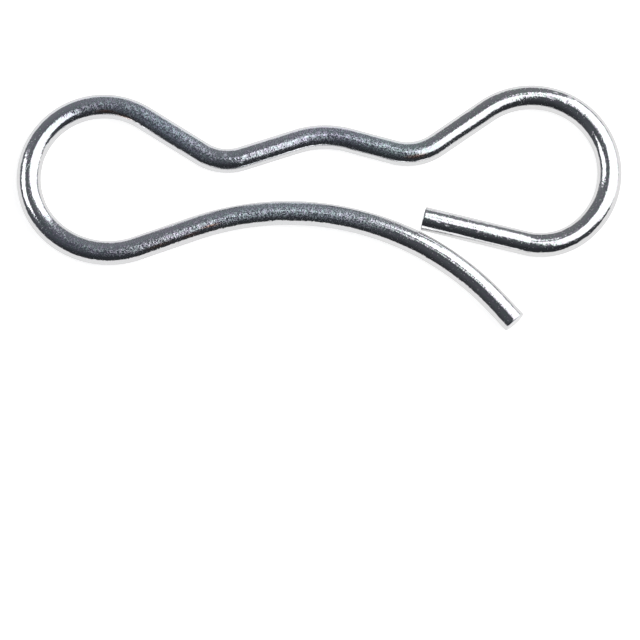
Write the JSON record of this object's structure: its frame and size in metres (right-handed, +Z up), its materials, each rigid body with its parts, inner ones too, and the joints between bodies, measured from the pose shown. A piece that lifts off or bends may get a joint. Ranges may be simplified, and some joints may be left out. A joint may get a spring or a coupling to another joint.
{
  "type": "locking cotter pin",
  "caption": "Round spring wire bent flat into a bowed leg, a spring loop, a wavy saddle that clips over a shaft, and a lock loop that closes back onto the leg.",
  "frame": {"origin": "on the surface that the pin lies on, below the middle of its outline", "axes": "+X along the pin, from the spring loop to the lock loop; +Y across it, from the leg to the saddle; +Z up, square to the plane that the wire is bent in and along the shaft that the pin locks"},
  "size_m": [0.0586, 0.0244, 0.0024],
  "materials": {
    "bright_zinc": "drawn spring steel wire with a thin bright zinc plating"
  },
  "bodies": {
    "root": {"cotter_pin": "bright_zinc"}
  },
  "joints": []
}
